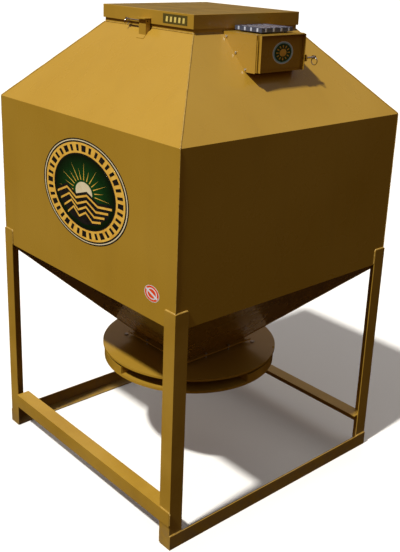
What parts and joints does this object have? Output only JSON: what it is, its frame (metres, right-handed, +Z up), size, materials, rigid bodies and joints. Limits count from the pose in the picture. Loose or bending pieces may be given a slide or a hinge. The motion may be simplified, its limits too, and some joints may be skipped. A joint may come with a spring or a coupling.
{
  "type": "gravity game feeder",
  "caption": "Square steel hopper feeder on angle-iron legs with hinged lid, solar control box and a round pan with a turning rim shutter.",
  "frame": {"origin": "centre of the footprint, on the ground", "axes": "+Z up, -Y the front face with the lid latch, +X the side with the control box"},
  "size_m": [1.2384, 1.2336, 2.032],
  "materials": {
    "tan_paint": "glossy tan enamel over sheet steel and angle iron",
    "zinc_steel": "zinc-plated hardware",
    "bright_steel": "bright plated pins and rings",
    "solar_frame_metal": "anodised frame",
    "solar_cells": "clear-coated solar cells",
    "battery_case": "moulded battery case with lead terminals",
    "timer_case": "moulded timer case",
    "knob_plastic": "black ribbed knob",
    "motor_metal": "dark enamelled gearmotor",
    "conduit_zinc": "galvanised conduit"
  },
  "bodies": {
    "frame": {"battery": "battery_case", "battery_shelf": "tan_paint", "box_screws": "zinc_steel", "control_box_shell": "tan_paint", "door_hinge_fixed": "tan_paint", "door_pin_ear": "tan_paint", "feed_cone": "tan_paint", "funnel_front": "tan_paint", "funnel_left": "tan_paint", "funnel_rear": "tan_paint", "funnel_right": "tan_paint", "ground_rail_left": "tan_paint", "ground_rail_right": "tan_paint", "latch_keeper": "tan_paint", "leg_front_left": "tan_paint", "leg_front_right": "tan_paint", "leg_rear_left": "tan_paint", "leg_rear_right": "tan_paint", "lid_hinge_left_base": "tan_paint", "lid_hinge_right_base": "tan_paint", "neck_collar": "tan_paint", "outlet_bolts": "zinc_steel", "outlet_flange": "tan_paint", "outlet_neck": "tan_paint", "pan_bolts": "zinc_steel", "pan_cover": "tan_paint", "pan_floor": "tan_paint", "pan_hangers": "tan_paint", "pan_wall_front_left": "tan_paint", "pan_wall_rear_right": "tan_paint", "rail_front": "tan_paint", "rail_rear": "tan_paint", "roof_front": "tan_paint", "roof_left": "tan_paint", "roof_rear": "tan_paint", "roof_right": "tan_paint", "shutter_motor": "motor_metal", "solar_feet": "solar_frame_metal", "solar_frame": "solar_frame_metal", "solar_glass": "solar_cells", "timer_unit": "timer_case", "wall_front": "tan_paint", "wall_left": "tan_paint", "wall_rear": "tan_paint", "wall_right": "tan_paint", "wire_conduit": "conduit_zinc"},
    "lid": {"lid": "tan_paint", "lid_hinge_left_leaf": "tan_paint", "lid_hinge_right_leaf": "tan_paint", "latch_tongue": "tan_paint"},
    "latch_pin": {"latch_pin": "bright_steel"},
    "latch_ring": {"latch_pin_ring": "bright_steel"},
    "door": {"control_door": "tan_paint", "door_hinge_leaf": "tan_paint"},
    "door_pin": {"door_pin": "bright_steel"},
    "door_ring": {"door_pin_ring": "bright_steel"},
    "timer_knob": {"timer_knob": "knob_plastic"},
    "shutter": {"rim_shutter": "tan_paint", "shutter_spider": "tan_paint"}
  },
  "joints": [
    {"name": "lid_hinge", "type": "hinge", "parent": "frame", "child": "lid", "pos_m": [0, 0.3009, 1.974], "axis": [-1, 0, 0], "range_deg": [0, 155]},
    {"name": "latch_pin_slide", "type": "slide", "parent": "frame", "child": "latch_pin", "axis": [1, 0, 0], "range_m": [0, 0.07]},
    {"name": "latch_ring_swing", "type": "hinge", "parent": "latch_pin", "child": "latch_ring", "pos_m": [-0.1065, -0.3016, 1.986], "axis": [0, 1, 0], "range_deg": [-60, 60]},
    {"name": "door_hinge", "type": "hinge", "parent": "frame", "child": "door", "pos_m": [0.4715, -0.1256, 1.9], "axis": [0, 0, -1], "range_deg": [0, 110]},
    {"name": "door_pin_slide", "type": "slide", "parent": "frame", "child": "door_pin", "axis": [0, -1, 0], "range_m": [0, 0.022]},
    {"name": "door_ring_swing", "type": "hinge", "parent": "door_pin", "child": "door_ring", "pos_m": [0.478, 0.1924, 1.872], "axis": [1, 0, 0], "range_deg": [-60, 60]},
    {"name": "timer_knob_turn", "type": "hinge", "parent": "frame", "child": "timer_knob", "pos_m": [0.455, 0.0864, 1.905], "axis": [1, 0, 0], "range_deg": [0, 270]},
    {"name": "shutter_turn", "type": "hinge", "parent": "frame", "child": "shutter", "pos_m": [0, 0.0024, 0.45], "axis": [0, 0, 1], "range_deg": [0, 90]}
  ]
}
